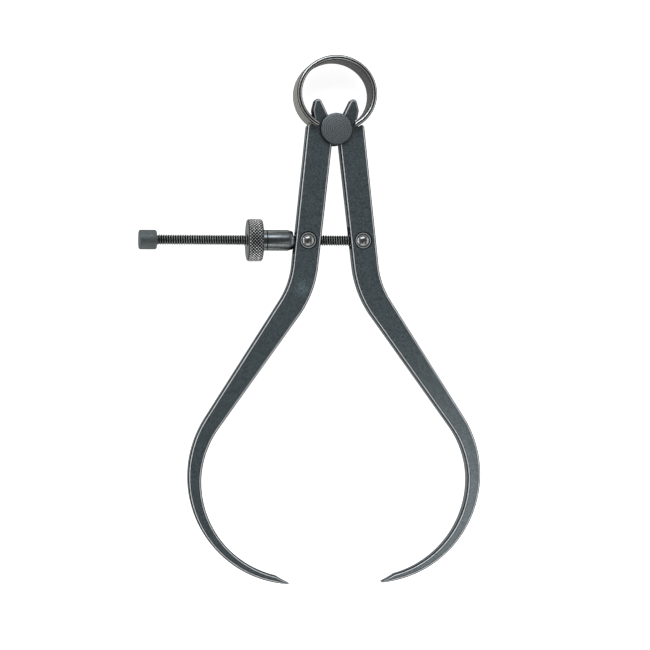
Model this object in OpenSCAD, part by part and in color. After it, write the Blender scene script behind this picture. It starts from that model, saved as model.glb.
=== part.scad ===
// Outside spring caliper, lying flat: two bowed legs that rock on a fulcrum spool under a bow spring,
// held against the spring by a knurled nut on a fine-threaded screw.
// The origin is the middle of the fulcrum, +Z is the front face, +Y points to the ring, -Y to the tips.

/* [Legs] */
// Thickness of each leg
leg_t = 5.4; // [5.2:0.1:7]
// Rounding of the legs' edges
leg_edge_r = 0.85; // [0.3:0.05:1.1]
// Distance from the middle line to a leg's outer edge, level with the fulcrum
leg_outer_x = 9.74; // [9.7:0.02:11]
// Angle between the upper part of a leg and the middle line
upper_angle = 6; // [5.5:0.05:8]
// Length of the straight upper part, below the fulcrum
upper_len = 45.5; // [42:0.5:60]
// Radius of the outer edge where the leg bends outwards
bend_r = 27; // [20:0.5:40]
// Angle between the middle part of a leg and the middle line
mid_angle = 32.6; // [28:0.1:36]
// Length of the straight middle part
mid_len = 46.3; // [40:0.5:60]
// Radius of the outer edge of the bowed lower part
bow_r = 36; // [33:0.5:42]
// Direction in which the bowed part ends at the tip
tip_angle = 86; // [80:0.5:88]
// Direction of the bowed part where the tip's bevel starts
bevel_angle = 78.5; // [70:0.5:79]
// Width of a leg level with the fulcrum
width_top = 9.0; // [8.8:0.05:9.1]
// Width at the end of the upper part
width_upper = 8.65; // [8:0.05:9]
// Width after the bend
width_bend = 8.25; // [7:0.05:9]
// Width where the bowed part starts
width_mid = 5.7; // [5:0.1:7]
// Width at the widest reach of the bowed part
width_bow = 4.45; // [4:0.05:5.5]
// Width where the tip's bevel starts
width_bevel = 2.3; // [2:0.1:3]
// Width of the measuring tip
width_tip = 0.45; // [0.4:0.05:1]
// Thickness of a leg at its tip
tip_t = 3.4; // [2.6:0.1:5]

/* [Leg tops] */
// Height of the shoulder above the fulcrum, at its outer corner
shoulder_h = 1.68; // [1.2:0.02:1.7]
// Rounding of the shoulder's outer corner
shoulder_r = 1.0; // [0.5:0.1:1.5]
// Length of the ear along its inner side
ear_len = 10.4; // [9:0.05:11]
// Radius of the ear's round end
ear_r = 1.3; // [1:0.05:1.5]
// Angle between the ear's inner side and the middle line
ear_angle = 26; // [25:0.5:28]
// Distance from the middle line to the ear's outer side, where it is widest
ear_outer_x = 7.8; // [7.6:0.05:8]
// Height of that place above the fulcrum
ear_outer_h = 6.2; // [5.6:0.1:6.4]

/* [Fulcrum] */
// Diameter of the spool's heads
head_d = 10.6; // [9:0.1:11]
// Thickness of a head
head_t = 1.35; // [1:0.05:2]
// Bevel round a head's face
head_bevel = 0.3; // [0.1:0.05:0.6]
// Diameter of the hidden core that the legs rock on
core_d = 4; // [3:0.1:5]

/* [Bow spring] */
// Thickness of the spring strip
strip_t = 1.65; // [1.3:0.05:1.8]
// Width of the spring strip
strip_w = 12; // [11:0.1:14]
// Radius of the top of the ring, at the middle of the strip
ring_top_r = 13.1; // [12.8:0.05:13.6]
// Radius of the sides of the ring, at the middle of the strip
ring_side_r = 11.35; // [11.1:0.05:11.6]
// Half the angle that the top radius spans
ring_top_span = 45; // [35:1:55]
// Height of the ring's widest level above the fulcrum
ring_h = 11.6; // [11.5:0.05:12.5]
// Angle below that level at which the strip meets the leg
ring_end_angle = 56.5; // [53:0.5:57]
// Length of the fork's prongs, up to their round ends
prong_len = 0.9; // [0.4:0.1:1.2]

/* [Swivels] */
// Distance of the swivels from the fulcrum, along the leg
swivel_s = 36.8; // [30:0.2:38]
// Diameter of a swivel stud
swivel_d = 5.4; // [5:0.1:5.8]
// Diameter of its domed end
dome_d = 4.25; // [3.8:0.05:4.6]
// Height of the dome above the leg's face
dome_h = 0.75; // [0.4:0.05:1.2]
// Bevel round the stud's hole in the leg
hole_bevel = 0.25; // [0.1:0.05:0.4]

/* [Screw] */
// Diameter of the screw over its thread
screw_d = 3.7; // [3.2:0.1:3.8]
// Depth of the screw's end in the right swivel, past the swivel's axis
screw_seat = 1.7; // [1:0.1:1.9]
// Free thread between the nut and the end stop
free_thread = 29.9; // [29.9:0.1:45]
// Diameter of the end stop
stop_d = 6.5; // [5.6:0.05:8]
// Length of the end stop
stop_len = 6.0; // [5.5:0.1:9]
// Rounding of the end stop's edges
stop_edge_r = 0.7; // [0.2:0.1:1]
// Wall at the closed end of the stop
stop_wall = 1.4; // [0.8:0.1:2.5]

/* [Nut] */
// Diameter of the knurled rim
nut_d = 14.4; // [12:0.1:17]
// Width of the rim
nut_w = 5.0; // [4:0.1:7]
// Bevel of the rim's edges
nut_bevel = 0.6; // [0.2:0.1:1]
// Diameter of the nut's hub and of the thrust sleeve
hub_d = 6.9; // [6.3:0.1:8]
// Length of the hub
hub_len = 1.5; // [0.8:0.1:3]
// Length of the thrust sleeve
sleeve_len = 8.6; // [6:0.1:11]
// Diameter of the sleeve's nose
nose_d = 6.1; // [5.6:0.1:6.2]
// Length of the nose's taper
nose_len = 1.7; // [1:0.1:3]

/* [Fits] */
// Radial clearance of pins that turn in their holes
turn_gap = 0.05; // [0.02:0.01:0.1]
// Clearance beside the faces that slide on each other
side_gap = 0.12; // [0.05:0.01:0.3]
// Clearance of the screw in the holes that it passes through
pass_gap = 0.15; // [0.1:0.01:0.3]
// Clearance of the nut's thread on the screw
thread_gap = 0.05; // [0.02:0.01:0.1]
// Clearance between the sleeve's nose and the leg
nose_gap = 0.3; // [0.2:0.05:0.5]
// Clearance of the spring's ends in their seats
seat_gap = 0.3; // [0.2:0.05:0.35]
// Swing of each leg outwards from this pose
open_swing = 23; // [15:0.5:23]

/* [Hidden] */
$fn = 64;

// Steps along the round stretches of a leg and of the spring
bend_steps = 6;
bow_upper_steps = 8;
bow_lower_steps = 18;
bevel_steps = 3;
corner_steps = 3;
prong_steps = 4;
ring_side_steps = 20;
ring_top_steps = 9;
// How far cuts run past the faces
over = 1;
// Largest share of a narrow place's width, and of the tip's, that the edges' rounding takes
edge_share = 0.4;
// Share of the edge rounding that a disc's bevel takes
disc_share = 0.8;
// Share of the strip's thickness that its eased edges take
ease_share = 1 / 6;
// Angle up to which the round end of a prong is drawn
prong_turn = 75;

core_r = core_d / 2;
head_z = leg_t / 2 + side_gap;
screw_r = screw_d / 2;

function blend(a, b, f) = a + (b - a) * f;

// A leg is drawn as the right-hand one. Its outer edge runs down at an angle to the middle line.
function along(s, a) = [s * sin(a), -s * cos(a)];
function inward(a) = [-cos(a), -sin(a)];
function upper_pt(s) = [leg_outer_x, 0] + along(s, upper_angle);
function upper_width(s) = blend(width_top, width_upper, s / upper_len);
bend_c = upper_pt(upper_len) - inward(upper_angle) * bend_r;
mid_end = bend_c + inward(mid_angle) * bend_r + along(mid_len, mid_angle);
bow_c = mid_end + inward(mid_angle) * bow_r;

// A station is [point of the outer edge, angle of the edge, width, thickness]
function corner_station(f) =
    let (s = shoulder_r * (1 - cos(90 * f)) - shoulder_h, cut = shoulder_r * (1 - sin(90 * f)))
    [upper_pt(s) + inward(upper_angle) * cut, upper_angle, upper_width(s) - cut, leg_t];
function bend_station(f) =
    let (a = blend(upper_angle, mid_angle, f))
    [bend_c + inward(a) * bend_r, a, blend(width_upper, width_bend, f), leg_t];
function bow_station(a, w) =
    [bow_c - inward(a) * bow_r, a, w, blend(leg_t, tip_t, max(0, -a) / tip_angle)];

stations = concat(
    [for (i = [0 : corner_steps]) corner_station(i / corner_steps)],
    [for (i = [0 : bend_steps]) bend_station(i / bend_steps)],
    [for (i = [0 : bow_upper_steps])
        let (f = i / bow_upper_steps)
        bow_station(blend(mid_angle, 0, f), blend(width_mid, width_bow, f))],
    [for (i = [1 : bow_lower_steps])
        let (f = i / bow_lower_steps)
        bow_station(blend(0, -bevel_angle, f), blend(width_bow, width_bevel, f))],
    [for (i = [1 : bevel_steps])
        let (f = i / bevel_steps)
        bow_station(blend(-bevel_angle, -tip_angle, f), blend(width_bevel, width_tip, f))]);

// The section of a leg, from its outer edge inwards: a rectangle with each corner rounded
function section(w, t) =
    let (c = min(leg_edge_r, edge_share * w), z = t / 2 - c)
    [for (corner = [[c, z, 180], [w - c, z, 90], [w - c, -z, 0], [c, -z, -90]])
        for (k = [0 : 2])
            let (turn = corner[2] - 45 * k)
            [corner[0] + c * cos(turn), corner[1] + c * sin(turn)]];
function placed(st) =
    [for (q = section(st[2], st[3])) let (at = st[0] + inward(st[1]) * q[0]) [at[0], at[1], q[1]]];

// The swivel sits on the middle of the leg, and the screw runs level with it
swivel_half = upper_width(swivel_s) / 2;
swivel_c = upper_pt(swivel_s) + inward(upper_angle) * swivel_half;
screw_y = swivel_c[1];
shoulder_z = leg_t / 2 - hole_bevel;

// Places along the screw, from the left leg's outer edge to the free end
nose_x = -swivel_c[0] - swivel_half / cos(upper_angle) - nose_d / 2 * tan(upper_angle) - nose_gap;
sleeve_x = nose_x - sleeve_len;
hub_x = sleeve_x - side_gap;
rim_x = hub_x - hub_len;
nut_x = rim_x - nut_w;
stop_x = nut_x - free_thread;
stop_bore = stop_len - stop_wall;

// The ear is round between its inner side, which leans away from the middle line, and its outer side
ear_side_gap = 0.2;
ear_foot_r = 1.6;
ear_foot_s = 2.6;
ear_heel_r = 1;
ear_heel = [ear_outer_x - 2 * ear_heel_r, ear_heel_r];
ear_outer_r = 2;
ear_outer = [ear_outer_x - ear_outer_r, ear_outer_h];
function ear_pt(s, r) =
    s * [sin(ear_angle), cos(ear_angle)] + (ear_side_gap + r) * [cos(ear_angle), -sin(ear_angle)];

// The ring is three arcs, a flatter top between two rounder sides, and each end runs on straight
ring_side_c = [(ring_top_r - ring_side_r) * sin(ring_top_span), ring_h];
ring_top_c = [0, ring_h - (ring_top_r - ring_side_r) * cos(ring_top_span)];
function outward(a) = [cos(a), sin(a)];

// A ring station is [middle of the strip, direction outwards, thickness]
function prong_station(f) =
    let (a = -ring_end_angle, s = prong_len + strip_t / 2 * sin(f))
    [ring_side_c + ring_side_r * outward(a) + s * outward(a - 90), outward(a), strip_t * cos(f)];
function arc_station(c, r, a) = [c + r * outward(a), outward(a), strip_t];
ring_half = concat(
    [for (i = [prong_steps : -1 : 0]) prong_station(prong_turn * i / prong_steps)],
    [for (i = [0 : ring_side_steps])
        arc_station(ring_side_c, ring_side_r, blend(-ring_end_angle, 90 - ring_top_span, i / ring_side_steps))],
    [for (i = [1 : ring_top_steps])
        arc_station(ring_top_c, ring_top_r, blend(90 - ring_top_span, 90, i / ring_top_steps))]);
function flipped(p) = [-p[0], p[1]];
ring = concat(ring_half, [for (i = [len(ring_half) - 2 : -1 : 0])
    let (st = ring_half[i]) [flipped(st[0]), flipped(st[1]), st[2]]]);

// The strip's section, with its long edges eased
function strip_section(t) =
    let (x = t / 2, z = strip_w / 2, e = t * ease_share)
    [[x, z - e], [x - e, z], [e - x, z], [-x, z - e], [-x, e - z], [e - x, -z], [x - e, -z], [x, e - z]];
function strip_placed(st) =
    [for (q = strip_section(st[2])) let (at = st[0] + st[1] * q[0]) [at[0], at[1], q[1]]];

// A solid through a row of loops that have the same number of points
module skin(loops) {
    n = len(loops[0]);
    last = (len(loops) - 1) * n;
    sides = [for (i = [0 : len(loops) - 2]) for (j = [0 : n - 1])
        let (a = i * n, k = (j + 1) % n)
        [a + j, a + n + j, a + n + k, a + k]];
    first_end = [for (j = [0 : n - 1]) j];
    last_end = [for (j = [n - 1 : -1 : 0]) last + j];
    polyhedron([for (loop = loops) for (p = loop) p], concat(sides, [first_end, last_end]));
}

// A disc as thick as the leg, with bevelled edges
module edge_disc(r) {
    cylinder(r = r, h = leg_t - 2 * leg_edge_r, center = true);
    cylinder(r = r - leg_edge_r * disc_share, h = leg_t, center = true);
}

module ear() {
    hull() {
        translate(ear_pt(ear_len, ear_r)) edge_disc(ear_r, $fn = 32);
        translate(ear_pt(ear_foot_s, ear_foot_r)) edge_disc(ear_foot_r, $fn = 32);
        translate(ear_outer) edge_disc(ear_outer_r, $fn = 32);
        translate(ear_heel) edge_disc(ear_heel_r, $fn = 32);
    }
}

// The hollow between the ear and the shoulder that the end of the spring strip sits in
module spring_seat() {
    past = asin(2 * seat_gap / ring_side_r);
    deep = strip_t / 2 + seat_gap;
    translate(ring_side_c)
        rotate([0, 0, -ring_end_angle - past])
            rotate_extrude(angle = ring_end_angle)
                translate([ring_side_r - deep, -leg_t]) square([2 * deep, 2 * leg_t]);
}

// The stud's hole, bevelled at both faces
module swivel_hole() {
    hole_r = swivel_d / 2 + turn_gap;
    cylinder(r = hole_r, h = leg_t + over, center = true);
    for (side = [0, 180])
        rotate([side, 0, 0])
            translate([0, 0, leg_t / 2 - hole_bevel])
                cylinder(r1 = hole_r, r2 = hole_r + hole_bevel + over, h = hole_bevel + over);
}

// The opening for the screw, long enough for the leg to swing. A closed one ends at the stud.
module screw_slot(through) {
    x = swivel_half + over;
    low = screw_r + pass_gap;
    high = x * tan(upper_angle + open_swing) + low / cos(upper_angle + open_swing);
    middle = (low + high) / 2;
    inner = [[-x, high], [-x, -low]];
    outer = through ? [[x, -high], [x, low]] : [[0, -middle], [0, middle]];
    rotate([0, 0, upper_angle])
        linear_extrude(height = 2 * low, center = true)
            polygon(concat(inner, outer));
}

module leg(through) {
    difference() {
        union() {
            skin([for (st = stations) placed(st)]);
            ear();
        }
        cylinder(r = core_r + turn_gap, h = leg_t + over, center = true);
        spring_seat();
        translate(swivel_c) {
            swivel_hole();
            screw_slot(through);
        }
    }
}

module left_leg() {
    color("#39444a") mirror([1, 0, 0]) leg(true);
}

module right_leg() {
    color("#39444a") leg(false);
}

// The gap between a fork's prongs, which the leg goes into
module fork_gap() {
    length = prong_len + strip_t;
    gap = leg_t + 2 * side_gap;
    translate(ring_side_c) rotate([0, 0, -ring_end_angle])
        translate([ring_side_r - strip_t, -length, -gap / 2]) cube([2 * strip_t, length, gap]);
}

module bow_spring() {
    color("#8d8c86")
        difference() {
            skin([for (st = ring) strip_placed(st)]);
            fork_gap();
            mirror([1, 0, 0]) fork_gap();
        }
}

module fulcrum_head() {
    translate([0, 0, head_z]) cylinder(d = head_d, h = head_t - head_bevel);
    translate([0, 0, head_z + head_t - head_bevel])
        cylinder(d1 = head_d, d2 = head_d - 2 * head_bevel, h = head_bevel);
}

module fulcrum_stud() {
    color("#6a6d6e") {
        cylinder(r = core_r, h = 2 * head_z, center = true);
        fulcrum_head();
        mirror([0, 0, 1]) fulcrum_head();
    }
}

// A round stud with a domed end at each face of the leg
module swivel() {
    dome_base = dome_d / 2;
    dome_rise = dome_h + hole_bevel;
    dome_sphere = (dome_base * dome_base + dome_rise * dome_rise) / (2 * dome_rise);
    cylinder(d = swivel_d, h = 2 * shoulder_z, center = true);
    for (side = [0, 180])
        rotate([side, 0, 0])
            intersection() {
                cylinder(d = dome_d, h = shoulder_z + dome_rise + over);
                translate([0, 0, shoulder_z + dome_rise - dome_sphere]) sphere(r = dome_sphere);
            }
}

module left_swivel() {
    color("#b9bcbd")
        translate([-swivel_c[0], screw_y, 0])
            difference() {
                swivel();
                rotate([0, 90, 0]) cylinder(r = screw_r + pass_gap, h = swivel_d + over, center = true);
            }
}

module right_swivel() {
    color("#b9bcbd")
        translate([swivel_c[0], screw_y, 0])
            difference() {
                swivel();
                rotate([0, -90, 0]) translate([0, 0, -screw_seat - turn_gap])
                    cylinder(r = screw_r + turn_gap, h = swivel_d + over);
            }
}

// A shape of revolution about the screw's axis, with its first end at x and the rest towards +X
module on_screw(x) {
    translate([x, screw_y, 0]) rotate([0, 90, 0]) children();
}

module adjusting_screw() {
    end_x = stop_x - stop_bore + turn_gap;
    length = swivel_c[0] + screw_seat - end_x;
    color("#4a4d4e") on_screw(end_x) cylinder(r = screw_r, h = length);
}

module screw_end_stop() {
    r = stop_d / 2;
    e = stop_edge_r;
    color("#6e7172")
        on_screw(stop_x - stop_len)
            difference() {
                rotate_extrude() {
                    square([r - e, stop_len]);
                    translate([0, e]) square([r, stop_len - 2 * e]);
                    for (h = [e, stop_len - e]) translate([r - e, h]) circle(r = e);
                }
                translate([0, 0, stop_wall]) cylinder(r = screw_r + turn_gap, h = stop_len);
            }
}

module knurled_nut() {
    r = nut_d / 2;
    color("#6e7172")
        on_screw(nut_x)
            difference() {
                union() {
                    cylinder(r1 = r - nut_bevel, r2 = r, h = nut_bevel);
                    translate([0, 0, nut_bevel]) cylinder(r = r, h = nut_w - 2 * nut_bevel);
                    translate([0, 0, nut_w - nut_bevel]) cylinder(r1 = r, r2 = r - nut_bevel, h = nut_bevel);
                    cylinder(d = hub_d, h = nut_w + hub_len);
                }
                translate([0, 0, -over]) cylinder(r = screw_r + thread_gap, h = nut_w + hub_len + 2 * over);
            }
}

module thrust_sleeve() {
    color("#6e7172")
        on_screw(sleeve_x)
            difference() {
                union() {
                    cylinder(d = hub_d, h = sleeve_len - nose_len);
                    translate([0, 0, sleeve_len - nose_len]) cylinder(d1 = hub_d, d2 = nose_d, h = nose_len);
                }
                translate([0, 0, -over]) cylinder(r = screw_r + pass_gap, h = sleeve_len + 2 * over);
            }
}

left_leg();
right_leg();
bow_spring();
fulcrum_stud();
left_swivel();
right_swivel();
adjusting_screw();
screw_end_stop();
knurled_nut();
thrust_sleeve();
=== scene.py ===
from math import asin, ceil, cos, degrees, pi, radians, sin, tan

import bmesh
import bpy
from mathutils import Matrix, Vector


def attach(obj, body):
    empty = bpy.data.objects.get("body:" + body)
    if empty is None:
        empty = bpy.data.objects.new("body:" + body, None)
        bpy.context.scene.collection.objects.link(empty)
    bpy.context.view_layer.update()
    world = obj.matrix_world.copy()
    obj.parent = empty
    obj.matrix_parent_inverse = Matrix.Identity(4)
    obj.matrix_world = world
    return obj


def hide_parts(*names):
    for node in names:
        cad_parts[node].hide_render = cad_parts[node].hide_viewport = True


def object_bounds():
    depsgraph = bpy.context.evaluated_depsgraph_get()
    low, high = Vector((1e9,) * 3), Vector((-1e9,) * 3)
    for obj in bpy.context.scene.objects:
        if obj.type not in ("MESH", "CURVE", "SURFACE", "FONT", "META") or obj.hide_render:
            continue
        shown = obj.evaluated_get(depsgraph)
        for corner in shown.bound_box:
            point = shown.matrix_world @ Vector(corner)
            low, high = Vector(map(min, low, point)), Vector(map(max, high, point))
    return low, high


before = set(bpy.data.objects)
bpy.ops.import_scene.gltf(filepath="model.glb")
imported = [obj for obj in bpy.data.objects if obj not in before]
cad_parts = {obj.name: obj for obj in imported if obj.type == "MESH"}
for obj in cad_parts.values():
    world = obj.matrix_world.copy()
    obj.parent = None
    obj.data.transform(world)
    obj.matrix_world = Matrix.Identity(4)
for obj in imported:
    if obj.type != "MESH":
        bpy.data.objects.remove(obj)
cad_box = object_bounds()

MM = 0.001

# Sizes of the legs in millimetres and degrees, as in the solids
leg_t = 5.4
edge_r = 0.85
leg_outer_x = 9.74
upper_angle, upper_len = 6.0, 45.5
bend_r = 27.0
mid_angle, mid_len = 32.6, 46.3
bow_r = 36.0
tip_angle, bevel_angle = 86.0, 78.5
width_top, width_upper, width_bend = 9.0, 8.65, 8.25
width_mid, width_bow, width_bevel, width_tip = 5.7, 4.45, 2.3, 0.45
tip_t = 3.4
shoulder_h, shoulder_r = 1.68, 1.0
ear_len, ear_r, ear_angle = 10.4, 1.3, 26.0
ear_outer_x, ear_outer_h, ear_outer_r = 7.8, 6.2, 2.0
ear_heel_r, ear_foot_r, ear_foot_s, ear_side_gap = 1.0, 1.6, 2.6, 0.2

# Sizes of the spring, as in the solids
strip_t, strip_w = 1.65, 12.0
ring_top_r, ring_side_r, ring_top_span = 13.1, 11.35, 45.0
ring_h, ring_end_angle, prong_len = 11.6, 56.5, 0.9

# Sizes of the turned pieces, as in the solids
head_d, head_t, head_bevel, core_d = 10.6, 1.35, 0.3, 4.0
swivel_s, swivel_d, dome_d, dome_h, hole_bevel = 36.8, 5.4, 4.25, 0.75, 0.25
screw_d, screw_seat, free_thread = 3.7, 1.7, 29.9
stop_d, stop_len, stop_edge_r, stop_wall = 6.5, 6.0, 0.7, 1.4
nut_d, nut_w, nut_bevel = 14.4, 5.0, 0.6
hub_d, hub_len, sleeve_len, nose_d, nose_len = 6.9, 1.5, 8.6, 6.1, 1.7

# Clearances, as in the solids
turn_gap, side_gap, pass_gap, thread_gap = 0.05, 0.12, 0.15, 0.05
nose_gap, seat_gap, open_swing = 0.3, 0.3, 23.0

# Fine forms that only the scene has: thread, knurl, broken edges and the groove round each dome
pitch, thread_depth = 0.794, 0.5
crest_half, root_half = 1 / 12, 5 / 12
knurl_count, knurl_step, knurl_depth, knurl_fill = 40, 1.02, 0.42, 0.8
edge_break, mouth_bevel, head_break = 0.12, 0.15, 0.1
groove_in, groove_out, groove_deep = 0.04, 0.14, 0.25

# The small hole at the end of a turned profile, which its end face closes
pole_r, dome_pole_r = 0.02, 0.01

# How far a cutter reaches past what it cuts, and a step that keeps two faces out of one plane
over = 1.0
apart = 0.02

# Faces that meet at a smaller angle than this are shaded as one
crease = 32

screw_r = screw_d / 2


def mix(a, b, f):
    return a + (b - a) * f


def steps(n, first=0):
    return [i / n for i in range(first, n + 1)]


# Shapes: lists of points and faces in millimetres, turned into objects in metres


def add_object(name, verts, faces, smooth=crease):
    mesh = bpy.data.meshes.new(name)
    mesh.from_pydata([Vector(v) * MM for v in verts], [], faces)
    mesh.validate()
    outward = bmesh.new()
    outward.from_mesh(mesh)
    bmesh.ops.recalc_face_normals(outward, faces=outward.faces)
    outward.to_mesh(mesh)
    outward.free()
    mesh.shade_smooth()
    mesh.set_sharp_from_angle(angle=radians(smooth))
    piece = bpy.data.objects.new(name, mesh)
    bpy.context.scene.collection.objects.link(piece)
    return piece


def loft(loops, closed=False):
    """Faces through a row of loops with the same number of points.
    An open row gets an end face at each end."""
    n, rows = len(loops[0]), len(loops)
    verts = [p for loop in loops for p in loop]
    faces = []
    for i in range(rows if closed else rows - 1):
        a = i * n
        b = (i + 1) % rows * n
        faces += [(a + j, b + j, b + (j + 1) % n, a + (j + 1) % n) for j in range(n)]
    if not closed:
        last = (rows - 1) * n
        faces.append(tuple(range(n)))
        faces.append(tuple(last + j for j in reversed(range(n))))
    return verts, faces


def lathe(profile, place, turns=128, closed=False):
    """A turned shape from the profile's (radius, distance) points.
    The place function gives their positions."""
    loops = [[place(r, h, 2 * pi * k / turns) for k in range(turns)] for r, h in profile]
    return loft(loops, closed)


def about_z(centre):
    return lambda r, h, t: (centre[0] + r * cos(t), centre[1] + r * sin(t), h)


def about_screw(r, h, t):
    return (h, screw_y + r * sin(t), r * cos(t))


def rounded(profile, corner, r, first, last, n=6):
    """Adds a round corner to a profile, as seen from the corner's centre."""
    for f in steps(n):
        a = radians(mix(first, last, f))
        profile.append((corner[0] + r * cos(a), corner[1] + r * sin(a)))


def both_ends(half):
    """A profile that is alike at both ends, from its half above the middle."""
    return [(r, -h) for r, h in reversed(half[1:])] + half


def combine(piece, others, operation):
    """Adds the other shapes to a piece (UNION) or takes them away (DIFFERENCE)."""
    for other in others:
        way = piece.modifiers.new("combine", "BOOLEAN")
        way.object = other
        way.operation = operation
        way.solver = "EXACT"
    graph = bpy.context.evaluated_depsgraph_get()
    mesh = bpy.data.meshes.new_from_object(piece.evaluated_get(graph))
    piece.modifiers.clear()
    old = piece.data
    piece.data = mesh
    bpy.data.meshes.remove(old)
    for other in others:
        bpy.data.objects.remove(other)


def even_shading(piece):
    """Keeps broad faces flat next to rounded edges."""
    piece.data.shade_smooth()
    piece.data.set_sharp_from_angle(angle=radians(crease))
    way = piece.modifiers.new("even_shading", "WEIGHTED_NORMAL")
    way.keep_sharp = True


# The legs, drawn as the right-hand one


def along(p, s, a):
    return (p[0] + s * sin(radians(a)), p[1] - s * cos(radians(a)))


def inwards(p, s, a):
    return (p[0] - s * cos(radians(a)), p[1] - s * sin(radians(a)))


def around(c, r, a):
    return (c[0] + r * cos(radians(a)), c[1] + r * sin(radians(a)))


def upper_pt(s):
    return along((leg_outer_x, 0), s, upper_angle)


def upper_width(s):
    return mix(width_top, width_upper, s / upper_len)


# Places that follow from the sizes
bend_c = inwards(upper_pt(upper_len), -bend_r, upper_angle)
mid_start = inwards(bend_c, bend_r, mid_angle)
mid_end = along(mid_start, mid_len, mid_angle)
bow_c = inwards(mid_end, bow_r, mid_angle)
swivel_half = upper_width(swivel_s) / 2
swivel_c = inwards(upper_pt(swivel_s), swivel_half, upper_angle)
screw_y = swivel_c[1]
nose_tilt = tan(radians(upper_angle))
nose_x = -swivel_c[0] - swivel_half / cos(radians(upper_angle)) - nose_d / 2 * nose_tilt - nose_gap
sleeve_x = nose_x - sleeve_len
hub_x = sleeve_x - side_gap
rim_x = hub_x - hub_len
nut_x = rim_x - nut_w
stop_x = nut_x - free_thread
ring_off = ring_top_r - ring_side_r
ring_side_c = (ring_off * sin(radians(ring_top_span)), ring_h)
ring_top_c = (0.0, ring_h - ring_off * cos(radians(ring_top_span)))


def bow_thickness(a):
    return mix(leg_t, tip_t, -a / tip_angle)


def leg_stations():
    """Points of the outer edge, with the edge's angle, the width and the thickness there."""
    found = []
    for f in steps(6):
        s = shoulder_r * (1 - cos(pi / 2 * f)) - shoulder_h
        lost = shoulder_r * (1 - sin(pi / 2 * f))
        found.append((inwards(upper_pt(s), lost, upper_angle), upper_angle, upper_width(s) - lost, leg_t))
    for f in steps(8, 1):
        s = mix(shoulder_r - shoulder_h, upper_len, f)
        found.append((upper_pt(s), upper_angle, upper_width(s), leg_t))
    for f in steps(16, 1):
        a = mix(upper_angle, mid_angle, f)
        found.append((inwards(bend_c, bend_r, a), a, mix(width_upper, width_bend, f), leg_t))
    for f in steps(8, 1):
        point = along(mid_start, mid_len * f, mid_angle)
        found.append((point, mid_angle, mix(width_bend, width_mid, f), leg_t))
    for f in steps(20, 1):
        a = mix(mid_angle, 0, f)
        found.append((inwards(bow_c, -bow_r, a), a, mix(width_mid, width_bow, f), leg_t))
    for f in steps(44, 1):
        a = mix(0, -bevel_angle, f)
        found.append((inwards(bow_c, -bow_r, a), a, mix(width_bow, width_bevel, f), bow_thickness(a)))
    for f in steps(6, 1):
        a = mix(-bevel_angle, -tip_angle, f)
        found.append((inwards(bow_c, -bow_r, a), a, mix(width_bevel, width_tip, f), bow_thickness(a)))
    return found


def leg_section(w, t, n=8):
    """A rectangle with round corners, from the outer edge inwards."""
    c = min(edge_r, 0.4 * w)
    z = t / 2 - c
    found = []
    for x, y, first in ((c, z, 180), (w - c, z, 90), (w - c, -z, 0), (c, -z, -90)):
        for f in steps(n):
            a = radians(first - 90 * f)
            found.append((x + c * cos(a), y + c * sin(a)))
    return found


def leg_bar():
    loops = []
    for point, angle, w, t in leg_stations():
        loops.append([(*inwards(point, q, angle), z) for q, z in leg_section(w, t)])
    return loft(loops)


def ear_pt(s, r):
    a = radians(ear_angle)
    side = ear_side_gap + r
    return (s * sin(a) + side * cos(a), s * cos(a) - side * sin(a))


def ear_shape(points=120, levels=6):
    """The outline round four discs, with its edges rounded and its faces just under the leg's."""
    discs = [
        (ear_pt(ear_len, ear_r), ear_r),
        (ear_pt(ear_foot_s, ear_foot_r), ear_foot_r),
        ((ear_outer_x - ear_outer_r, ear_outer_h), ear_outer_r),
        ((ear_outer_x - 2 * ear_heel_r, ear_heel_r), ear_heel_r),
    ]
    outline = []
    for k in range(points):
        n = (cos(2 * pi * k / points), sin(2 * pi * k / points))
        outline.append((n, max(discs, key=lambda d: d[0][0] * n[0] + d[0][1] * n[1] + d[1])))
    half = leg_t / 2 - apart
    front = []
    for f in steps(levels):
        inset = edge_r * (1 - sin(pi / 2 * f))
        front.append((inset, half - edge_r + edge_r * cos(pi / 2 * f)))
    loops = []
    for inset, z in front + [(d, -z) for d, z in reversed(front)]:
        loops.append([(c[0] + (r - inset) * n[0], c[1] + (r - inset) * n[1], z) for n, (c, r) in outline])
    return loft(loops)


def seat_cutter():
    """The notch that the spring's end bears in."""
    past = degrees(asin(2 * seat_gap / ring_side_r))
    deep = strip_t / 2 + seat_gap
    loops = []
    for f in steps(24):
        a = mix(-ring_end_angle - past, -past, f)
        near = around(ring_side_c, ring_side_r - deep, a)
        far = around(ring_side_c, ring_side_r + deep, a)
        loops.append([(*near, -leg_t), (*far, -leg_t), (*far, leg_t), (*near, leg_t)])
    return add_object("seat_cutter", *loft(loops))


def hole_cutter():
    """The bevelled hole that the swivel turns in."""
    r = swivel_d / 2 + turn_gap
    face = leg_t / 2
    wide = r + hole_bevel + over
    profile = [(wide, -face - over), (r, hole_bevel - face), (r, face - hole_bevel), (wide, face + over)]
    return add_object("hole_cutter", *lathe(profile, about_z(swivel_c), 96))


def slot_cutter(through):
    """The room that the screw sweeps in the leg, from the swivel inwards, or right through it."""
    x = swivel_half + over
    low = screw_r + pass_gap
    lean = radians(upper_angle + open_swing)
    high = x * tan(lean) + low / cos(lean)
    middle = (low + high) / 2
    near = [(-x, high), (-x, -low)]
    far = [(x, -high), (x, low)] if through else [(0, -middle), (0, middle)]
    a = radians(upper_angle)
    flat = []
    for px, py in near + far:
        flat.append((swivel_c[0] + px * cos(a) - py * sin(a), swivel_c[1] + px * sin(a) + py * cos(a)))
    return add_object("slot_cutter", *loft([[(*p, -low) for p in flat], [(*p, low) for p in flat]]))


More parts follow.
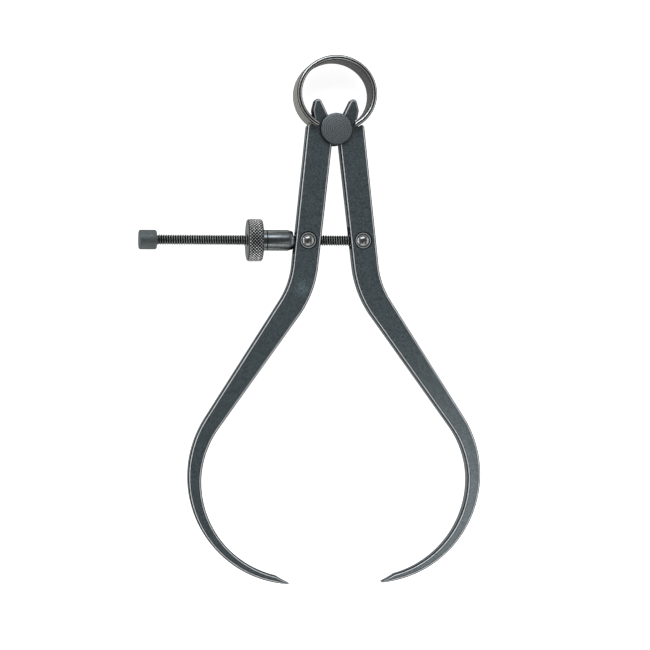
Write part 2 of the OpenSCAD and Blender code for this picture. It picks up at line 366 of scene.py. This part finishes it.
def make_leg(name, through, mirrored):
    leg = add_object(name, *leg_bar())
    combine(leg, [add_object("ear", *ear_shape())], "UNION")
    combine(leg, [seat_cutter(), slot_cutter(through), hole_cutter()], "DIFFERENCE")
    if mirrored:
        for v in leg.data.vertices:
            v.co.x = -v.co.x
        leg.data.flip_normals()
    even_shading(leg)
    return leg


# The bow spring: a strip bent into a ring, with a fork at each end


def ring_path():
    """The strip's middle line and outward angles, from the right end over the top to the left end."""
    join = 90 - ring_top_span
    half = []
    for f in steps(56):
        a = mix(-ring_end_angle, join, f)
        half.append((around(ring_side_c, ring_side_r, a), a))
    for f in steps(24, 1):
        a = mix(join, 90, f)
        half.append((around(ring_top_c, ring_top_r, a), a))
    return half + [((-p[0], p[1]), 180 - a) for p, a in reversed(half[:-1])]


def strip_section(t):
    """Outer face, front edge, inner face, back edge.
    Each edge has round corners, two slopes and a flat middle.
    The corner points are shares of the thickness, and drops from the edge at full thickness."""
    corner = [(0.5, 0.5), (0.47, 0.38), (0.41, 0.26), (0.33, 0.16), (0.15, 0)]
    half_w = strip_w / 2
    front = [(t * f, half_w - drop * t / strip_t) for f, drop in corner]
    back = [(t * f, -half_w + drop * t / strip_t) for f, drop in corner]
    return front + [(-x, z) for x, z in reversed(front)] + [(-x, z) for x, z in back] + back[::-1]


def strip_loop(p, a, section):
    return [(p[0] + q * cos(radians(a)), p[1] + q * sin(radians(a)), z) for q, z in section]


def prong_loop(s, section):
    """The section at a distance past the ring's right end."""
    end = around(ring_side_c, ring_side_r, -ring_end_angle)
    return strip_loop(around(end, s, -ring_end_angle - 90), -ring_end_angle, section)


def mirror_loop(loop):
    return [(-x, y, z) for x, y, z in loop]


def spring_shape():
    """The whole strip, with a straight run and a round nose past each end of the ring."""
    tail = [prong_loop(prong_len, strip_section(strip_t))]
    for turn in (15, 30, 45, 60, 72, 82):
        t = radians(turn)
        tail.append(prong_loop(prong_len + strip_t / 2 * sin(t), strip_section(strip_t * cos(t))))
    ring = [strip_loop(p, a, strip_section(strip_t)) for p, a in ring_path()]
    return loft(tail[::-1] + ring + [mirror_loop(loop) for loop in tail])


def fork_cutter(mirrored):
    """The space between the two prongs at one end of the strip, where the leg goes."""
    gap = leg_t / 2 + side_gap
    section = [(-strip_t, -gap), (strip_t, -gap), (strip_t, gap), (-strip_t, gap)]
    loops = [prong_loop(s, section) for s in (-apart, prong_len + strip_t)]
    if mirrored:
        loops = [mirror_loop(loop) for loop in loops]
    return add_object("fork_cutter", *loft(loops))


# The turned pieces


def fulcrum_shape():
    face = leg_t / 2 + side_gap
    r, top, b = head_d / 2, face + head_t, head_bevel
    half = [(core_d / 2, 0), (core_d / 2, face), (r - head_break, face), (r, face + head_break)]
    rounded(half, (r - b, top - b), b, 0, 90)
    half.append((pole_r, top))
    return lathe(both_ends(half), about_z((0, 0)), 160)


def swivel_shape(centre):
    """A plain stud with a dome at each end, and a small groove round each dome."""
    shoulder = leg_t / 2 - hole_bevel
    base, rise, r = dome_d / 2, dome_h + hole_bevel, swivel_d / 2
    ball = (base * base + rise * rise) / (2 * rise)
    reach = asin(base / ball)
    half = [(r, 0), (r, shoulder - edge_break), (r - edge_break, shoulder), (base + groove_out, shoulder)]
    half += [(base + groove_in, shoulder - groove_deep), (base, shoulder - groove_deep)]
    for f in steps(16):
        a = reach * (1 - f)
        half.append((ball * sin(a) + dome_pole_r, shoulder + rise - ball + ball * cos(a)))
    return lathe(both_ends(half), about_z(centre), 96)


def screw_hole(x, length, r):
    """The cross hole of a swivel. With 50 sides, no corner falls on the swivel's middle row."""
    return add_object("screw_hole", *lathe([(r, x), (r, x + length)], about_screw, 50))


def thread_shape(per_pitch=10, turns=48):
    """Crests and roots that climb one pitch in each turn, right-handed."""
    end = stop_x - (stop_len - stop_wall) + turn_gap
    tip = swivel_c[0] + screw_seat
    rows = ceil((tip - end) / pitch * per_pitch)
    loops = []
    for i in range(rows + 1):
        x = mix(end, tip, i / rows)
        loop = []
        for k in range(turns):
            climb = (x / pitch + k / turns) % 1
            tooth = (root_half - abs(climb - 0.5)) / (root_half - crest_half)
            sunk = thread_depth * (1 - min(1, max(0, tooth)))
            loop.append(about_screw(screw_r - sunk, x, 2 * pi * k / turns))
        loops.append(loop)
    return loft(loops)


def stop_shape():
    r, e, x = stop_d / 2, stop_edge_r, stop_x - stop_len
    bore, depth = screw_r + turn_gap, stop_x - (stop_len - stop_wall)
    profile = [(pole_r, x)]
    rounded(profile, (r - e, x + e), e, 270, 360)
    rounded(profile, (r - e, stop_x - e), e, 0, 90)
    profile += [(bore + mouth_bevel, stop_x), (bore, stop_x - mouth_bevel), (bore, depth), (pole_r, depth)]
    return lathe(profile, about_screw)


def nut_shape(turns=480, rows=56):
    """A rim with a diamond knurl between two bevels, and a plain hub."""
    r, bore, hub_r = nut_d / 2, screw_r + thread_gap, hub_d / 2
    bore_bevel, face_row, fillet = 0.3, 0.5, 0.2
    loops = []

    def plain(radius, x):
        loops.append([about_screw(radius, x, 2 * pi * k / turns) for k in range(turns)])

    plain(bore, hub_x)
    plain(bore, nut_x + bore_bevel)
    plain(bore + bore_bevel, nut_x)
    plain(r - nut_bevel - face_row, nut_x)
    for i in range(rows + 1):
        x = mix(nut_x, rim_x, i / rows)
        edge = min(x - nut_x, rim_x - x)
        limit = r - max(0, nut_bevel - edge)
        loop = []
        for k in range(turns):
            u, v = k / turns * knurl_count, (x - nut_x) / knurl_step
            ridge = min(abs((u + v) % 1 - 0.5), abs((u - v) % 1 - 0.5)) * 2
            height = r - knurl_depth * (1 - min(1, ridge / knurl_fill))
            loop.append(about_screw(min(limit, height), x, 2 * pi * k / turns))
        loops.append(loop)
    plain(hub_r + fillet, rim_x)
    plain(hub_r, rim_x + mouth_bevel)
    plain(hub_r, hub_x - edge_break)
    plain(hub_r - edge_break, hub_x)
    return loft(loops, closed=True)


def sleeve_shape():
    r, tip = hub_d / 2, nose_d / 2
    bore = screw_r + pass_gap
    profile = [(bore, sleeve_x), (r - edge_break, sleeve_x), (r, sleeve_x + edge_break)]
    profile += [(r, nose_x - nose_len)]
    profile += [(tip, nose_x - mouth_bevel), (tip - mouth_bevel, nose_x), (bore, nose_x)]
    return lathe(profile, about_screw, closed=True)


# Materials

# The part of a pattern's range between the two tones, and how far it moves the roughness
pattern_low, pattern_high, gloss_swing = 0.35, 0.65, 0.12
bump_height_mm = 0.05


def colour(hex_code):
    """The linear colour of an sRGB hex code."""
    found = []
    for i in (1, 3, 5):
        c = int(hex_code[i:i + 2], 16) / 255
        found.append(c / 12.92 if c <= 0.04045 else ((c + 0.055) / 1.055) ** 2.4)
    return (*found, 1.0)


def add_node(tree, kind, links=(), **settings):
    """A node with its settings. A socket is set by its name, with _ for a space, or linked from another."""
    made = tree.nodes.new(kind)
    for key, value in settings.items():
        if hasattr(made, key):
            setattr(made, key, value)
        else:
            made.inputs[key.replace("_", " ")].default_value = value
    for source, target in links:
        tree.links.new(source, made.inputs[target])
    return made


def mottled(tree, drawn, size_mm):
    """A cloudy grain of this size."""
    noise = add_node(tree, "ShaderNodeTexNoise", [(drawn, "Vector")],
                     Scale=1 / (size_mm * MM), Detail=3.0, Roughness=0.6)
    return noise.outputs["Fac"]


def ringed(tree, drawn, size_mm):
    """Uneven rings round the Z axis, this far apart. The node draws them at pi / 10 / Scale."""
    rings = add_node(tree, "ShaderNodeTexWave", [(drawn, "Vector")], wave_type="RINGS", rings_direction="Z",
                     Scale=pi / 10 / (size_mm * MM), Distortion=3.5, Detail=3.0, Detail_Scale=4.0)
    return rings.outputs["Fac"]


def toned_patch(tree, place, shown, x, y, inner, outer, level, fade):
    """Multiplies the colour by a level inside the inner radius, going back to 1 at the outer radius."""
    flat = add_node(tree, "ShaderNodeMapping", [(place, "Vector")],
                    Location=(-x * MM, -y * MM, 0), Scale=(1, 1, 0))
    away = add_node(tree, "ShaderNodeVectorMath", [(flat.outputs["Vector"], 0)], operation="LENGTH")
    share = add_node(tree, "ShaderNodeMapRange", [(away.outputs["Value"], "Value")], interpolation_type=fade,
                     From_Min=inner * MM, From_Max=outer * MM, To_Min=level, To_Max=1.0)
    product = add_node(tree, "ShaderNodeVectorMath", [(shown, 0), (share.outputs["Result"], 1)],
                       operation="MULTIPLY")
    return product.outputs["Vector"]


def steel(name, dark, light, rough, grain_mm, bump=0.0, stretch=(1, 1, 1), metallic=1.0, draw=mottled,
          edge="#ffffff", sheen=0.1, patches=()):
    """Steel with a pattern that moves its tone between two colours, its roughness and its height.
    The patches make it darker or lighter round a point."""
    made = bpy.data.materials.new(name)
    made.use_nodes = True
    tree = made.node_tree
    shader = tree.nodes["Principled BSDF"]
    shader.inputs["Metallic"].default_value = metallic
    shader.inputs["Specular Tint"].default_value = colour(edge)
    if not metallic:
        shader.inputs["Specular IOR Level"].default_value = sheen
    place = add_node(tree, "ShaderNodeTexCoord").outputs["Object"]
    drawn = add_node(tree, "ShaderNodeMapping", [(place, "Vector")], Scale=stretch).outputs["Vector"]
    pattern = draw(tree, drawn, grain_mm)
    gloss = add_node(tree, "ShaderNodeMapRange", [(pattern, "Value")],
                     From_Min=pattern_low, From_Max=pattern_high,
                     To_Min=(1 + gloss_swing) * rough, To_Max=(1 - gloss_swing) * rough)
    tree.links.new(gloss.outputs["Result"], shader.inputs["Roughness"])
    tones = add_node(tree, "ShaderNodeValToRGB", [(pattern, "Fac")])
    first, last = tones.color_ramp.elements
    first.position, first.color = pattern_low, colour(dark)
    last.position, last.color = pattern_high, colour(light)
    shown = tones.outputs["Color"]
    for patch in patches:
        shown = toned_patch(tree, place, shown, *patch)
    tree.links.new(shown, shader.inputs["Base Color"])
    if bump:
        lift = add_node(tree, "ShaderNodeBump", [(pattern, "Height")],
                        Strength=bump, Distance=bump_height_mm * MM)
        tree.links.new(lift.outputs["Normal"], shader.inputs["Normal"])
    return made


def oxide(name, dark, light):
    """A dull skin on steel, which stays dark at a low angle."""
    return steel(name, dark, light, rough=0.7, grain_mm=0.5, bump=0.15, metallic=0.0, sheen=0.2)


# The grain of every steel here is drawn at 0.3 to 0.7 mm. The real grain is finer and wouldn't show.

# Painted shade in the corner round the fulcrum's head, where its shadow falls, and a place on the left leg's
# bend that is rubbed lighter.
# Each has its x and y, its inner and outer radius, its level and how it fades.
shade_and_wear_patches = [
    (0.0, 0.0, 5.2, 5.9, 0.15, "LINEAR"),
    (-11.4, -53.0, 0.0, 4.5, 1.8, "SMOOTHSTEP"),
]

# The legs' faces: forged, ground and blackened. A dark blue-grey satin with a fine speckle.
blackened = steel("blackened_steel", "#20282a", "#576569", rough=0.34, grain_mm=0.36,
                  bump=0.3, metallic=0.0, sheen=1.0, patches=shade_and_wear_patches)

# The legs' side walls: painted a lighter grey than the faces, for the light they catch from the side. A dull
# middle grey, lighter than the dark line beside it.
wall_light_grey = oxide("wall_light_oxide", "#4a5052", "#5e6466")

# Blackening and grime, with painted shade, on rounded edges, in holes and in thread roots. Nearly black, to
# draw the forms.
shade_and_oxide = oxide("painted_shade_oxide", "#111416", "#191c1e")

# The legs' edges: rubbed bare by handling, and painted light as a highlight. A soft bright line along each
# leg.
edge_wear_highlight = steel("edge_wear_highlight_steel", "#d4d6d6", "#eceeee", rough=0.68, grain_mm=0.7)

# The corners of the spring's edges: ground bright, and painted light as a highlight. Two sharp light lines
# round the ring.
ground_line_highlight = steel("ground_edge_highlight_steel", "#c6c6c2", "#dededa", rough=0.3, grain_mm=0.7)

# The spring's outside: ground, with a thin tempered skin. A warm dull grey.
outer_spring = steel("ground_spring_steel", "#5f605a", "#6e6e67", rough=0.5, grain_mm=0.5,
                     bump=0.1, metallic=0.0)

# The spring's inside: the same skin, with painted shade. It sets the inside off from the outside.
spring_inside_shade = steel("spring_inside_shade_steel", "#262826", "#323431", rough=0.5, grain_mm=0.6,
                     bump=0.1, metallic=0.0)

# Scale and painted shade in the middle of the spring's edges. The dark line between the two light ones.
spring_scale_shade = oxide("spring_scale_shade_oxide", "#1f2120", "#272928")

# The sleeve and the nut's hub: drawn bar, with streaks along it. A sharp light band on a dark cylinder.
turned = steel("turned_steel", "#6d7272", "#888d8d", rough=0.25, grain_mm=0.35,
               bump=0.06, stretch=(0.12, 1, 1), edge="#6a6a68")

# The flat faces and bevels of the nut's rim: turned and dulled by oil. A plain dark grey.
turned_face = steel("turned_face_steel", "#3a3d3b", "#464946", rough=0.45, grain_mm=0.35,
                    bump=0.06, metallic=0.0)

# The end stop: turned and tumbled. A soft, broad shine.
cap_steel = steel("cap_steel", "#646a6a", "#757b7b", rough=0.6, grain_mm=0.35,
                  bump=0.06, edge="#6a6a68")

# The fulcrum's heads: faced on a lathe. Rings round the middle, drawn wider apart than the real ones to show.
faced = steel("faced_steel", "#7f8789", "#b0b7b9", rough=0.36, grain_mm=0.7065,
              bump=0.3, draw=ringed)

# The swivels' domes: polished. A small mirror with a bright spot.
polished = steel("polished_steel", "#8c8e8d", "#9c9e9c", rough=0.18, grain_mm=0.5)

# The shoulder round each dome: painted light grey as a highlight. A light ring between two dark ones.
rim_highlight = oxide("swivel_rim_highlight", "#a0a3a0", "#b2b5b2")

# The points of the knurl: burnished by fingers, and painted bright as highlights. Bright specks.
knurl_point_highlight = steel("knurl_point_highlight_steel", "#d8dad7", "#eaece9", rough=0.28, grain_mm=0.4)

# The grooves of the knurl: filled with grime, and painted dark as shade. The dark net between the points.
groove_grime_shade = oxide("groove_grime_shade_oxide", "#202222", "#282a2a")

# The crests of the thread: rubbed by the nut, and painted light as highlights. A row of light bars.
crest_wear_highlight = steel("crest_wear_highlight_steel", "#8f928e", "#a6a9a5", rough=0.3, grain_mm=0.3)


# Dressing: each piece rides on its body, and each face gets a material by a rule


def dress(piece, body, slot, node, *materials):
    for material in materials:
        piece.data.materials.append(material)
    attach(piece, body)
    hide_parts(node)


def paint(piece, rule):
    """Gives each face the material whose place in the list the rule returns.
    The rule goes by the face's middle in mm and its normal."""
    for face in piece.data.polygons:
        face.material_index = rule(face.center / MM, face.normal)


def flat_distance(at, centre):
    return Vector((at.x - centre[0], at.y - centre[1])).length


def screw_distance(at):
    return Vector((at.y - screw_y, at.z)).length


# The legs. A face's lean is the height of its normal: 0 is a side wall and 1 lies flat.
LEG_FACE, LEG_EDGE_SHADE, LEG_WEAR_HIGHLIGHT, LEG_LIT_SIDE = range(4)
wall_lean, wear_highlight_lean, wear_highlight_end_lean, flat_lean = 0.1, 0.85, 0.97, 0.997
ear_from_y, ear_wear_highlight_lean, ear_flat_lean = 0.5, 0.7, 0.95
hole_rim, hole_lean = 0.3, 0.99


def leg_finish(at, normal):
    """Blackened faces and grey sides, with a bright line of bare wear and painted highlight along each edge,
    between dark lines of painted shade.
    """
    lean = abs(normal.z)
    from_hole = flat_distance(Vector((abs(at.x), at.y)), swivel_c)
    # Painted shade in the bevel and round the rim of the swivel's hole
    if from_hole < swivel_d / 2 + hole_bevel + hole_rim and lean < hole_lean:
        return LEG_EDGE_SHADE
    if lean < wall_lean:
        return LEG_LIT_SIDE
    if at.y > ear_from_y:
        if lean > ear_flat_lean:
            return LEG_FACE
        return LEG_WEAR_HIGHLIGHT if lean > ear_wear_highlight_lean else LEG_EDGE_SHADE
    if wear_highlight_lean < lean < wear_highlight_end_lean:
        return LEG_WEAR_HIGHLIGHT
    return LEG_EDGE_SHADE if lean < flat_lean else LEG_FACE


def add_leg(name, body, node, is_left):
    """The left leg is the mirror image, and the screw goes right through it."""
    leg = make_leg(name, is_left, is_left)
    dress(leg, body, "blackened_steel", node, blackened, shade_and_oxide, edge_wear_highlight, wall_light_grey)
    paint(leg, leg_finish)


add_leg("left_leg_piece", "left_arm", "left_leg", True)
add_leg("right_leg_piece", "right_arm", "right_leg", False)

# The bow spring
SPRING_OUT, SPRING_SHADE_INSIDE, SPRING_SCALE_SHADE, SPRING_HIGHLIGHT = range(4)
edge_middle_lean, edge_highlight_lean, edge_corner_lean = 0.99, 0.85, 0.3
inside_turn = -0.35


def spring_finish(at, normal):
    """Ground outside, the same skin with painted shade inside, and edges painted dark as scale and shade,
    with two bright lines that are ground and painted as highlights.
    """
    lean = abs(normal.z)
    if lean > edge_middle_lean:
        return SPRING_SCALE_SHADE
    if lean > edge_highlight_lean:
        return SPRING_HIGHLIGHT
    if lean > edge_corner_lean:
        return SPRING_SCALE_SHADE
    outward = Vector((at.x, at.y - ring_h, 0)).normalized()
    return SPRING_SHADE_INSIDE if normal.dot(outward) < inside_turn else SPRING_OUT


spring = add_object("bow_spring_piece", *spring_shape())
combine(spring, [fork_cutter(False), fork_cutter(True)], "DIFFERENCE")
even_shading(spring)
dress(spring, "bow", "spring_steel", "bow_spring", outer_spring, spring_inside_shade, spring_scale_shade, ground_line_highlight)
paint(spring, spring_finish)

# The fulcrum
HEAD_FACE, HEAD_SHADE = range(2)
head_lean = 0.9

stud = add_object("fulcrum_piece", *fulcrum_shape())
dress(stud, "fulcrum", "turned_steel", "fulcrum_stud", faced, shade_and_oxide)
# The heads' faces show their rings; their bevels and sides are painted dark as shade
paint(stud, lambda at, normal: HEAD_FACE if abs(normal.z) > head_lean else HEAD_SHADE)

# The swivels
DOME, SWIVEL_SHADE, RIM_HIGHLIGHT = range(3)


def swivel_finish(centre):
    """A polished dome, a shoulder painted bright as a highlight, and dark lines of painted shade beside it.
    """
    def rule(at, normal):
        r = flat_distance(at, centre)
        if r < dome_d / 2:
            return DOME
        return RIM_HIGHLIGHT if dome_d / 2 + groove_out < r < swivel_d / 2 - edge_break else SWIVEL_SHADE
    return rule


def add_swivel(name, centre, hole, body, node):
    swivel = add_object(name, *swivel_shape(centre))
    combine(swivel, [hole], "DIFFERENCE")
    even_shading(swivel)
    dress(swivel, body, "polished_steel", node, polished, shade_and_oxide, rim_highlight)
    paint(swivel, swivel_finish(centre))


left_hole = screw_hole(-swivel_c[0] - swivel_d, 2 * swivel_d, screw_r + pass_gap)
add_swivel("left_swivel_piece", (-swivel_c[0], screw_y), left_hole, "left_pivot", "left_swivel")
right_hole = screw_hole(swivel_c[0] - swivel_d, swivel_d + screw_seat + turn_gap, screw_r + turn_gap)
add_swivel("right_swivel_piece", swivel_c, right_hole, "right_pivot", "right_swivel")

# The screw and its stop
THREAD_HIGHLIGHT, THREAD_SHADE = range(2)
crest_share, thread_crease = 0.3, 50

screw = add_object("adjusting_screw_piece", *thread_shape(), smooth=thread_crease)
dress(screw, "right_pivot", "screw_steel", "adjusting_screw", crest_wear_highlight, shade_and_oxide)
crest_from = screw_r - crest_share * thread_depth
# Crests painted light as highlights, and roots painted dark as shade
paint(screw, lambda at, normal: THREAD_HIGHLIGHT if screw_distance(at) > crest_from else THREAD_SHADE)

end_stop = add_object("screw_end_stop_piece", *stop_shape())
dress(end_stop, "right_pivot", "turned_steel", "screw_end_stop", cap_steel)

# The nut and the sleeve
HUB, KNURL_HIGHLIGHT, KNURL_GRIME_SHADE, RIM_FACE = range(4)
hub_edge, hub_rim, bevel_share, groove_from, knurl_crease = 0.02, 0.1, 0.75, 0.17, 25


def nut_finish(at, normal):
    """Bright knurl points, burnished and painted as highlights, over dark grooves of grime and painted shade,
    and plain turned faces.
    """
    edge = min(at.x - nut_x, rim_x - at.x)
    if edge < hub_edge and screw_distance(at) < hub_d / 2 + hub_rim:
        return HUB
    if edge < bevel_share * nut_bevel:
        return RIM_FACE
    sunk = nut_d / 2 - max(0, nut_bevel - edge) - screw_distance(at)
    return KNURL_GRIME_SHADE if sunk > groove_from else KNURL_HIGHLIGHT


nut = add_object("knurled_nut_piece", *nut_shape(), smooth=knurl_crease)
dress(nut, "nut", "turned_steel", "knurled_nut", turned, knurl_point_highlight, groove_grime_shade, turned_face)
paint(nut, nut_finish)

sleeve = add_object("thrust_sleeve_piece", *sleeve_shape())
dress(sleeve, "sleeve", "turned_steel", "thrust_sleeve", turned)

# The floor, level with the lowest point of the nut's rim


def make_floor(half=8.0):
    low = cad_box[0].z
    verts = [(-half, -half, low), (half, -half, low), (half, half, low), (-half, half, low)]
    mesh = bpy.data.meshes.new("floor")
    mesh.from_pydata(verts, [], [(0, 1, 2, 3)])
    floor_piece = bpy.data.objects.new("floor", mesh)
    bpy.context.scene.collection.objects.link(floor_piece)
    # White paper that glows a little, so that it stays white all over and the shadows stay faint
    paper = bpy.data.materials.new("white_paper")
    paper.use_nodes = True
    shader = paper.node_tree.nodes["Principled BSDF"]
    shader.inputs["Base Color"].default_value = colour("#d6d6d6")
    shader.inputs["Roughness"].default_value = 0.9
    shader.inputs["Emission Color"].default_value = colour("#ffffff")
    shader.inputs["Emission Strength"].default_value = 0.89
    mesh.materials.append(paper)


make_floor()

# Lights: places and sizes in metres


def soft_light(name, at, aim, size, watts, tint="#ffffff", spread=180):
    lamp = bpy.data.lights.new(name, "AREA")
    lamp.shape = "RECTANGLE"
    lamp.size, lamp.size_y = size
    lamp.energy = watts
    lamp.spread = radians(spread)
    lamp.color = colour(tint)[:3]
    holder = bpy.data.objects.new(name, lamp)
    holder.location = at
    holder.visible_camera = False
    holder.rotation_euler = (Vector(aim) - Vector(at)).to_track_quat("-Z", "Y").to_euler()
    bpy.context.scene.collection.objects.link(holder)


# The key light is above the ring. The next three light the sides, and the last the right leg's bow.
legs_middle = (0, -0.06, 0)
soft_light("key_light", (-0.12, 0.6, 0.76), (0, -0.04, 0), size=(0.9, 0.34), watts=3.8, tint="#eef5ff")
soft_light("near_light", (0.0, -0.95, 0.62), legs_middle, size=(1.0, 0.35), watts=1.4)
soft_light("left_light", (-1.0, -0.05, 0.3), legs_middle, size=(1.2, 0.5), watts=3.0)
soft_light("right_light", (1.0, -0.05, 0.35), legs_middle, size=(1.2, 0.4), watts=1.6)
soft_light("bow_light", (0.08, -0.155, 0.16), (0.045, -0.125, 0), size=(0.08, 0.1), watts=0.0061,
           tint="#f0faff", spread=50)

# The surroundings: light at the horizon and dark overhead, for the steel to reflect
sky_levels = ((0.0, 0.6), (0.3, 0.55), (0.6, 0.3), (0.85, 0.16), (1.0, 0.13))
world = bpy.data.worlds.new("studio")
bpy.context.scene.world = world
world.use_nodes = True
sky = world.node_tree
direction = add_node(sky, "ShaderNodeTexCoord").outputs["Generated"]
axes = add_node(sky, "ShaderNodeSeparateXYZ", [(direction, "Vector")])
levels = add_node(sky, "ShaderNodeValToRGB", [(axes.outputs["Z"], "Fac")])
stops = levels.color_ramp.elements
while len(stops) < len(sky_levels):
    stops.new(0.5)
for stop, (height, light) in zip(stops, sky_levels):
    stop.position = height
    stop.color = (light, light, light, 1)
sky.links.new(levels.outputs["Color"], sky.nodes["Background"].inputs["Color"])


def make_camera():
    """Above the caliper and a little to its left, with the top of the picture towards the ring."""
    away, lean, sensor = 0.7, radians(8.5), 36
    picture_px, mm_per_px = 650, 0.3335
    aim = Vector((-3.3, -65.2, 0)) * MM
    lens = bpy.data.cameras.new("camera")
    lens.sensor_width = sensor
    lens.lens = sensor * away / (picture_px * mm_per_px * MM)
    lens.clip_start, lens.clip_end = 0.01, 20
    holder = bpy.data.objects.new("camera", lens)
    holder.location = aim + Vector((-sin(lean), 0, cos(lean))) * away
    holder.rotation_euler = (0, -lean, 0)
    bpy.context.scene.collection.objects.link(holder)
    bpy.context.scene.camera = holder


make_camera()
bpy.context.scene.view_settings.view_transform = "Standard"
bpy.context.scene.view_settings.look = "None"
